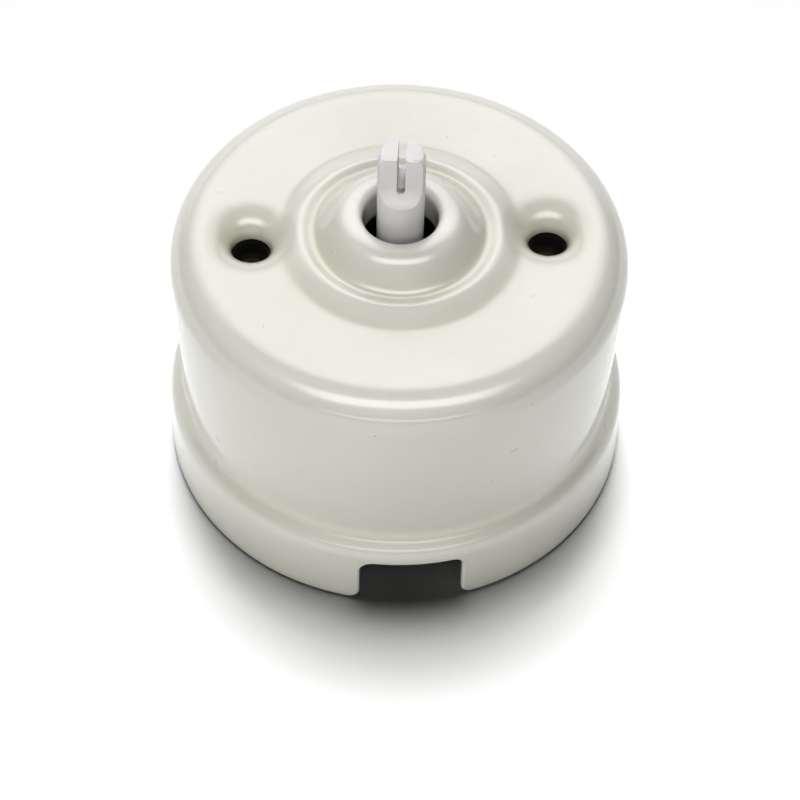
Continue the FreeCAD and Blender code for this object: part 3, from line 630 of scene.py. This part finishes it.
# one material: its shader, its Object coordinates and the nodes that feed it
class Finish(Nodes):
    def __init__(self, name, **constants):
        self.material = bpy.data.materials.new(name)
        self.material.use_nodes = True
        super().__init__(self.material.node_tree)
        self.shader = self.tree.nodes["Principled BSDF"]
        self.place = self.node("ShaderNodeTexCoord", "Object")
        self.set(**constants)

    # smooth noise about zero, from minus a half to a half; size is a feature's width in millimetres
    def noise(self, size, detail=2.0, place=None):
        sockets = dict(Vector=place or self.place, Scale=1 / (size * mm), Detail=detail)
        return self.node("ShaderNodeTexNoise", "Fac", **sockets) - 0.5

    def blend(self, share, a, b):
        a, b = ((*c, 1) if isinstance(c, tuple) else c for c in (a, b))
        return self.node("ShaderNodeMix", 2, {"data_type": "RGBA"}, _0=share, _6=a, _7=b)

    def along(self, axis):
        return self.node("ShaderNodeSeparateXYZ", axis, Vector=self.place)

    def stretched(self, scale):
        return self.node("ShaderNodeMapping", 0, Vector=self.place, Scale=scale)

    # height is in millimetres
    def bump(self, height):
        self.set(Normal=self.node("ShaderNodeBump", 0, Height=height * mm, Strength=1.0, Distance=1.0))

    def set(self, **sockets):
        for name, value in sockets.items():
            value = (*value, 1) if isinstance(value, tuple) else value
            self.put(self.shader.inputs[name.replace("_", " ")], value)


# each finish has a dictionary: the sizes and heights of its patterns are millimetres, the rest are shares
glaze = dict(
    # the second tint is pooled glaze, darker and warmer, and stands partly for painted shade in hollows
    thin=(0.61, 0.604, 0.582), thickAndShaded=(0.53, 0.523, 0.445), thickness=0.6, fromPoolAndShade=0.75,
    cloud=14, cloudShare=0.4, mottle=2.5, mottleShare=0.2,
    pinholeSpacing=4.4, pinholeLeast=0.009, pinholeGrowth=0.016, pinholeChance=0.5,
    pinholeColour=(0.17, 0.14, 0.1), pinholeShare=0.8, pinholeRough=0.3,
    rough=0.3, roughPatch=5, roughShare=0.12, ripple=7, rippleHeight=0.035, grain=1.1, grainHeight=0.004,
)


# glaze over a white body: thin and cool on crests, pooled, creamy and darker in hollows, where the tint is
# partly painted shade, with a few pinholes
def glazedPorcelain():
    g = glaze
    f = Finish("glazed_porcelain", Coat_Weight=1.0, Coat_Roughness=0.025, Coat_IOR=1.52,
               Specular_IOR_Level=0.35)
    poolAndShade = f.node("ShaderNodeAttribute", "Fac", {"attribute_name": "glazePoolAndShade"})
    uneven = g["cloudShare"] * f.noise(g["cloud"]) + g["mottleShare"] * f.noise(g["mottle"])
    # darker and creamier in hollows and dishes: partly glaze pooling, partly painted shade
    tint = f.blend(f.clamped(g["thickness"] + g["fromPoolAndShade"] * poolAndShade + uneven), g["thin"], g["thickAndShaded"])
    cells = dict(Vector=f.place, Scale=1 / (g["pinholeSpacing"] * mm))
    nearest = f.node("ShaderNodeTexVoronoi", "Distance", **cells)
    chance = f.node("ShaderNodeSeparateColor", 0, Color=f.node("ShaderNodeTexVoronoi", "Color", **cells))
    pinhole = (nearest < g["pinholeLeast"] + g["pinholeGrowth"] * chance) * (chance > g["pinholeChance"])
    f.set(Base_Color=f.blend(g["pinholeShare"] * pinhole, tint, g["pinholeColour"]))
    f.set(Roughness=g["rough"] + g["roughShare"] * f.noise(g["roughPatch"]) + g["pinholeRough"] * pinhole)
    f.bump(g["rippleHeight"] * f.noise(g["ripple"], 1.0) + g["grainHeight"] * f.noise(g["grain"], 1.0))
    return f.material


nylon = dict(
    shade=(0.605, 0.593, 0.595), light=(0.665, 0.652, 0.655),
    flow=3.0, flowStretch=(1, 1, 0.25), flowShare=1.2, flowHeight=0.015,
    wornColour=(0.5, 0.38, 0.25), wornShare=0.4, wornPatch=0.8, wornOver=0.02,
    wornLevel=54.7, wornRise=0.25, wornFront=1.2, wornRun=0.125, wornRough=0.1, wornDepth=0.03,
    rough=0.46, roughPatch=1.2, roughShare=0.25, grain=0.35, grainHeight=0.02,
)


# moulded nylon: dull white with faint flow marks, and worn brown along the top's front edge
def whitePlastic():
    n = nylon
    f = Finish("white_plastic", Specular_IOR_Level=0.3)
    flow = f.noise(n["flow"], 3.0, f.stretched(n["flowStretch"]))
    atTop = f.clamped((f.along(2) - n["wornLevel"] * mm) * (1 / (n["wornRise"] * mm)))
    atFront = f.clamped((-1 * f.along(1) - n["wornFront"] * mm) * (1 / (n["wornRun"] * mm)))
    worn = atTop * atFront * (f.noise(n["wornPatch"], 3.0) > n["wornOver"])
    cream = f.blend(f.clamped(0.5 + n["flowShare"] * flow), n["shade"], n["light"])
    f.set(Base_Color=f.blend(n["wornShare"] * worn, cream, n["wornColour"]))
    f.set(Roughness=n["rough"] + n["roughShare"] * f.noise(n["roughPatch"]) + n["wornRough"] * worn)
    f.bump(n["grainHeight"] * f.noise(n["grain"], 3.0) + n["flowHeight"] * flow - n["wornDepth"] * worn)
    return f.material


moulding = dict(
    fleck=0.5, fleckOver=0.12, fleckSharpness=6, fleckShare=0.35, swirl=6.0, swirlStretch=(1, 1, 0.4),
    swirlShare=0.9, middle=0.45, rough=0.36, roughPatch=2.2, roughShare=0.22, fleckRough=0.12,
    grain=0.6, grainHeight=0.012, swirlHeight=0.008,
)


# moulded phenolic: deep colour, wood-flour flecks and a satin skin
def phenolic(name, dark, light):
    m = moulding
    f = Finish(name, Specular_IOR_Level=0.5, Coat_Weight=0.12, Coat_Roughness=0.3)
    fleck = f.clamped((f.noise(m["fleck"], 3.0) - m["fleckOver"]) * m["fleckSharpness"])
    swirl = f.noise(m["swirl"], 3.0, f.stretched(m["swirlStretch"]))
    share = f.clamped(m["middle"] + m["swirlShare"] * swirl + m["fleckShare"] * fleck)
    f.set(Base_Color=f.blend(share, dark, light))
    f.set(Roughness=m["rough"] + m["roughShare"] * f.noise(m["roughPatch"]) + m["fleckRough"] * fleck)
    f.bump(m["grainHeight"] * f.noise(m["grain"], 2.0) + m["swirlHeight"] * swirl)
    return f.material


fibre = dict(
    dark=(0.13, 0.05, 0.025), light=(0.27, 0.125, 0.06), width=0.5, stretch=0.12, strandShare=0.7,
    cloud=9.0, cloudShare=0.6, rough=0.72, strandRough=0.3, strandHeight=0.02,
)


# pressed fibre sheet: long fibres lying two ways, matt, a little uneven
def fibreSheet():
    b = fibre
    f = Finish("fibre_sheet", Specular_IOR_Level=0.25)
    ways = [f.stretched(way) for way in ((1, b["stretch"], 1), (b["stretch"], 1, 1))]
    one, other = (f.noise(b["width"], 4.0, way) for way in ways)
    strands = one + other
    share = f.clamped(0.5 + b["strandShare"] * strands + b["cloudShare"] * f.noise(b["cloud"], 2.0))
    f.set(Base_Color=f.blend(share, b["dark"], b["light"]))
    f.set(Roughness=b["rough"] + b["strandRough"] * strands)
    f.bump(b["strandHeight"] * strands)
    return f.material


toolMarks = dict(
    width=0.12, height=0.004, markRough=0.25, markShare=0.5,
    tarnish=3.5, tarnishShare=1.5, tarnishMiddle=0.4, roughPatch=2.0, patchShare=0.2,
)


# metal with tool marks: fine lines along one direction and a cloudy tarnish
def metal(name, bright, dull, roughness, lines):
    t = toolMarks
    f = Finish(name, Metallic=1.0)
    mark = f.noise(t["width"], 2.0, f.stretched(lines))
    tarnish = t["tarnishMiddle"] + t["tarnishShare"] * f.noise(t["tarnish"], 3.0) + t["markShare"] * mark
    f.set(Base_Color=f.blend(f.clamped(tarnish), bright, dull))
    f.set(Roughness=roughness + t["markRough"] * mark + t["patchShare"] * f.noise(t["roughPatch"]))
    f.bump(t["height"] * mark)
    return f.material


finishes = dict(
    glazed_porcelain=glazedPorcelain(),
    white_plastic=whitePlastic(),
    black_phenolic=phenolic("black_phenolic", (0.008, 0.008, 0.009), (0.022, 0.02, 0.019)),
    brown_phenolic=phenolic("brown_phenolic", (0.055, 0.022, 0.012), (0.13, 0.06, 0.03)),
    fibre_sheet=fibreSheet(),
    brass=metal("brass", (0.86, 0.66, 0.31), (0.66, 0.46, 0.2), 0.26, (1, 1, 0.06)),
    # painted shade: a darkened brass for the inserts deep under the screw holes
    shaded_brass=metal("shaded_brass", (0.3, 0.22, 0.11), (0.17, 0.12, 0.06), 0.45, (1, 1, 0.06)),
    spring_bronze=metal("spring_bronze", (0.83, 0.55, 0.3), (0.62, 0.37, 0.19), 0.3, (0.06, 1, 1)),
    silver=metal("silver", (0.93, 0.92, 0.89), (0.72, 0.69, 0.63), 0.22, (1, 1, 0.3)),
    plated_steel=metal("plated_steel", (0.7, 0.71, 0.7), (0.5, 0.5, 0.47), 0.32, (1, 1, 0.08)),
)


def wear(piece, finish):
    piece.data.materials.clear()
    piece.data.materials.append(finishes[finish])


wear(coverPiece, "glazed_porcelain")
wear(spindlePiece, "white_plastic")
for part in frame["record"]["subparts"]:
    if part["node"] not in ("porcelain_cover", "spindle"):
        wear(nodes[part["node"]], part["material_slot"])
wear(nodes["pillar_inserts"], "shaded_brass")  # painted shade: the brass is darkened because it sits deep under the screw holes
print("finishes:", len(finishes))


# Floor, light and camera

studio = dict(floorHalf=9000, floorColour=(0.98, 0.98, 0.98), floorRoughness=0.9, floorSpecular=0.1,
              worldColour=(1.0, 0.995, 0.985), worldStrength=0.95, gamma=0.8)
# soft boxes and cards are brightest in the middle and fade over a share of their width towards the edges:
# a soft box lights the pieces and doesn't show in their gloss, a card only shows in their gloss
softBox = dict(aim=(0, 0, 20), fade=0.5, colour=(1, 1, 1), lights=True, inGloss=False)
tintedBox = dict(softBox, colour=(0.99, 1, 0.97))
card = dict(softBox, lights=False, inGloss=True)
lamps = dict(
    backTop=dict(softBox, place=(0, 550, 850), size=(900, 600), power=13.5),
    frontMid=dict(tintedBox, place=(0, -800, 560), size=(900, 500), power=8.0),
    frontTop=dict(softBox, place=(0, -500, 880), size=(900, 600), power=6.5),
    leftTop=dict(softBox, place=(-650, -200, 750), size=(600, 600), power=6.5),
    rightTop=dict(softBox, place=(650, -200, 750), size=(600, 600), power=2.5),
    leftLow=dict(tintedBox, place=(-900, -350, 130), size=(700, 220), power=2.6),
    rightLow=dict(tintedBox, place=(900, -350, 130), size=(700, 220), power=0.4),
    backCard=dict(card, place=(0, 700, 760), size=(1700, 900), power=12.8, colour=(1, 0.97, 1)),
    backLow=dict(card, place=(0, 1000, 230), size=(2400, 560), power=6.0),
    ceilingCard=dict(card, place=(0, -420, 880), size=(1400, 520), power=9.0, fade=0.25),
    frontCard=dict(card, place=(0, -700, 190), size=(1200, 130), power=1.3, fade=0.4),
    backLeft=dict(softBox, place=(-450, 800, 150), size=(500, 260), power=4.5),
    backRight=dict(softBox, place=(450, 800, 150), size=(500, 260), power=4.5),
)
# wide suns that fall on the floor alone, leaning back from upright, so that it is as pale far away as near
floorSuns = dict(
    steepSun=dict(lean=9, width=14, strength=1.75),
    slantSun=dict(lean=22, width=15, strength=1.55),
)
eye = dict(target=(0, 0, 20), distance=337.57, elevation=50.02, azimuth=-3.8, roll=-1.524, yaw=0.103,
           pitch=-1.702, focalPixels=2408.1, framePixels=800, sensor=36, clipStart=10)


def buildStudio():
    s = studio
    half = s["floorHalf"]
    corners = np.array([(-half, -half, 0), (half, -half, 0), (half, half, 0), (-half, half, 0)], float)
    floor = newPiece("floor", newMesh("floor", corners, [[0, 1, 2, 3]]))
    pale = Finish("pale_floor", Base_Color=s["floorColour"], Roughness=s["floorRoughness"],
                  Specular_IOR_Level=s["floorSpecular"])
    floor.data.materials.append(pale.material)
    scene = bpy.context.scene
    scene.world = bpy.data.worlds.new("studio")
    scene.world.use_nodes = True
    sky = scene.world.node_tree.nodes["Background"]
    sky.inputs["Color"].default_value = (*s["worldColour"], 1)
    sky.inputs["Strength"].default_value = s["worldStrength"]
    scene.world.cycles_visibility.diffuse = False  # the background is seen and lights nothing
    scene.world.cycles_visibility.glossy = False
    scene.view_settings.view_transform = "Standard"
    scene.view_settings.gamma = s["gamma"]
    lit = {name: bpy.data.collections.new("lit_" + name) for name in ("floor", "pieces")}
    for piece in scene.objects:
        if piece.type == "MESH":
            lit["floor" if piece == floor else "pieces"].objects.link(piece)
    for name, lamp in lamps.items():
        addSoftBox(name, lamp).light_linking.receiver_collection = lit["pieces"]
    for name, sun in floorSuns.items():
        addSun(name, sun).light_linking.receiver_collection = lit["floor"]


# an area light whose strength rises from its edges as a parabola, cut flat where fade has passed
def addSoftBox(name, lamp):
    data = bpy.data.lights.new(name, "AREA")
    data.shape = "RECTANGLE"
    data.size, data.size_y = (side * mm for side in lamp["size"])
    data.energy = lamp["power"]
    data.color = lamp["colour"]
    data.use_nodes = True
    shading = Nodes(data.node_tree)
    across = shading.node("ShaderNodeNewGeometry", "Parametric")
    steep = 1 / (lamp["fade"] * (1 - lamp["fade"]))
    sides = [shading.node("ShaderNodeSeparateXYZ", axis, Vector=across) for axis in (0, 1)]
    fall = [shading.clamped(steep * side * (1 - side)) for side in sides]
    shading.put(data.node_tree.nodes["Emission"].inputs["Strength"], fall[0] * fall[1])
    box = bpy.data.objects.new(name, data)
    bpy.context.scene.collection.objects.link(box)
    box.visible_glossy = lamp["inGloss"]
    box.visible_diffuse = lamp["lights"]
    box.location = Vector(lamp["place"]) * mm
    box.rotation_euler = (Vector(lamp["aim"]) - Vector(lamp["place"])).to_track_quat("-Z", "Y").to_euler()
    return box


def addSun(name, sun):
    data = bpy.data.lights.new(name, "SUN")
    data.angle = math.radians(sun["width"])
    data.energy = sun["strength"]
    lamp = bpy.data.objects.new(name, data)
    bpy.context.scene.collection.objects.link(lamp)
    lamp.rotation_euler = (-math.radians(sun["lean"]), 0, 0)
    return lamp


# looks at the target from its azimuth and elevation, then turns by yaw, pitch and roll to frame it
def addCamera():
    e = eye
    turn, tilt = math.radians(e["azimuth"]), math.radians(e["elevation"])
    ahead = Vector((-math.sin(turn) * math.cos(tilt), math.cos(turn) * math.cos(tilt), -math.sin(tilt)))
    place = Vector(e["target"]) - e["distance"] * ahead
    stand = ahead.to_track_quat("-Z", "Y").to_matrix()
    yaw = Matrix.Rotation(-math.radians(e["yaw"]), 3, "Y")
    pitch = Matrix.Rotation(math.radians(e["pitch"]), 3, "X")
    roll = Matrix.Rotation(-math.radians(e["roll"]), 3, "Z")
    data = bpy.data.cameras.new("camera")
    data.sensor_width = e["sensor"]
    data.lens = e["focalPixels"] * e["sensor"] / e["framePixels"]
    data.clip_start = e["clipStart"] * mm
    camera = bpy.data.objects.new("camera", data)
    bpy.context.scene.collection.objects.link(camera)
    camera.matrix_world = Matrix.Translation(place * mm) @ (stand @ yaw @ pitch @ roll).to_4x4()
    bpy.context.scene.camera = camera


buildStudio()
addCamera()
print("studio:", len(lamps) + len(floorSuns), "lamps")
